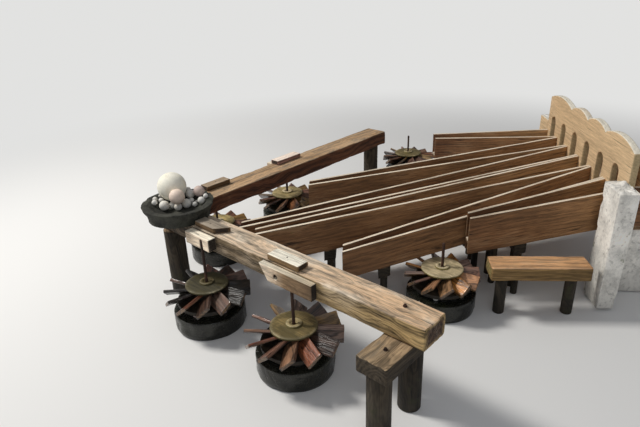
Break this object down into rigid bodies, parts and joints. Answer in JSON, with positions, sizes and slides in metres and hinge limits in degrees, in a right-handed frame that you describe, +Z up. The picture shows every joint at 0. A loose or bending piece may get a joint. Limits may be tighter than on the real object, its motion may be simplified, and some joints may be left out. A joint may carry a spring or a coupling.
{
  "type": "stream-driven marble ball mill",
  "caption": "Open-air marble ball mill: horizontal paddle wheels on iron spindles over grooved base stones, fed by narrow board chutes from a slotted weir plank, under an L of heavy beams.",
  "frame": {"origin": "centre of the foot of the round post under the corner of the two beams, on the floor", "axes": "+X along the front beam to its right end, +Y along the rear beam away from the viewer, +Z up"},
  "size_m": [3.7779, 4.7306, 1.2989],
  "materials": {
    "beam_wood": "rough sawn, weathered",
    "post_wood": "dark weathered",
    "cleat_wood": "bleached",
    "board_wood": "wet sawn boards",
    "weir_wood": "pale planed plank",
    "paddle_wood": "wet, worn",
    "iron": "rusty",
    "mill_stone": "wet",
    "wheel_wood": "mossy, damp",
    "limestone": "rough hewn",
    "bowl_stone": "hewn, mossy",
    "marble": "polished",
    "runner_wood": "dark, soaked"
  },
  "bodies": {
    "mill_frame": {"front_beam": "beam_wood", "rear_beam": "beam_wood", "beam_posts": "post_wood", "cap_timber": "post_wood", "support_logs": "post_wood", "beam_cleats": "cleat_wood", "spindle_blocks": "beam_wood", "spindles": "iron", "base_stones": "mill_stone", "grinding_marbles": "marble", "weir_plank": "weir_wood", "headrace_floor": "board_wood", "headrace_back": "board_wood", "headrace_ends": "board_wood", "headrace_piers": "limestone", "end_stones": "limestone", "side_board": "weir_wood", "chute_1_sides": "board_wood", "chute_2_sides": "board_wood", "chute_3_sides": "board_wood", "chute_4_sides": "board_wood", "chute_5_sides": "board_wood", "chute_6_sides": "board_wood", "chute_floors": "board_wood", "trestle_bearers": "post_wood", "trestle_legs": "post_wood", "step_timber": "beam_wood", "stone_bowl": "bowl_stone", "bowl_marbles": "marble", "bolt_heads": "iron"},
    "wheel_a": {"wheel_a_runner": "runner_wood", "wheel_a_paddles": "paddle_wood", "wheel_a_disc": "wheel_wood"},
    "wheel_b": {"wheel_b_runner": "runner_wood", "wheel_b_paddles": "paddle_wood", "wheel_b_disc": "wheel_wood"},
    "wheel_c": {"wheel_c_runner": "runner_wood", "wheel_c_paddles": "paddle_wood", "wheel_c_disc": "wheel_wood"},
    "wheel_d": {"wheel_d_runner": "runner_wood", "wheel_d_paddles": "paddle_wood", "wheel_d_disc": "wheel_wood"},
    "wheel_e": {"wheel_e_runner": "runner_wood", "wheel_e_paddles": "paddle_wood", "wheel_e_disc": "wheel_wood"},
    "wheel_f": {"wheel_f_runner": "runner_wood", "wheel_f_paddles": "paddle_wood", "wheel_f_disc": "wheel_wood"}
  },
  "joints": [
    {"name": "wheel_a_turn", "type": "hinge", "parent": "mill_frame", "child": "wheel_a", "pos_m": [0.576, -0.124, 0.34], "axis": [0, 0, 1], "continuous": true},
    {"name": "wheel_b_turn", "type": "hinge", "parent": "mill_frame", "child": "wheel_b", "pos_m": [1.489, -0.081, 0.34], "axis": [0, 0, 1], "continuous": true},
    {"name": "wheel_c_turn", "type": "hinge", "parent": "mill_frame", "child": "wheel_c", "pos_m": [1.876, 1.224, 0.34], "axis": [0, 0, 1], "continuous": true},
    {"name": "wheel_d_turn", "type": "hinge", "parent": "mill_frame", "child": "wheel_d", "pos_m": [-0.26, 1.6, 0.34], "axis": [0, 0, 1], "continuous": true},
    {"name": "wheel_e_turn", "type": "hinge", "parent": "mill_frame", "child": "wheel_e", "pos_m": [0.023, 3.537, 0.34], "axis": [0, 0, 1], "continuous": true},
    {"name": "wheel_f_turn", "type": "hinge", "parent": "mill_frame", "child": "wheel_f", "pos_m": [-0.26, 0.64, 0.34], "axis": [0, 0, 1], "continuous": true}
  ]
}
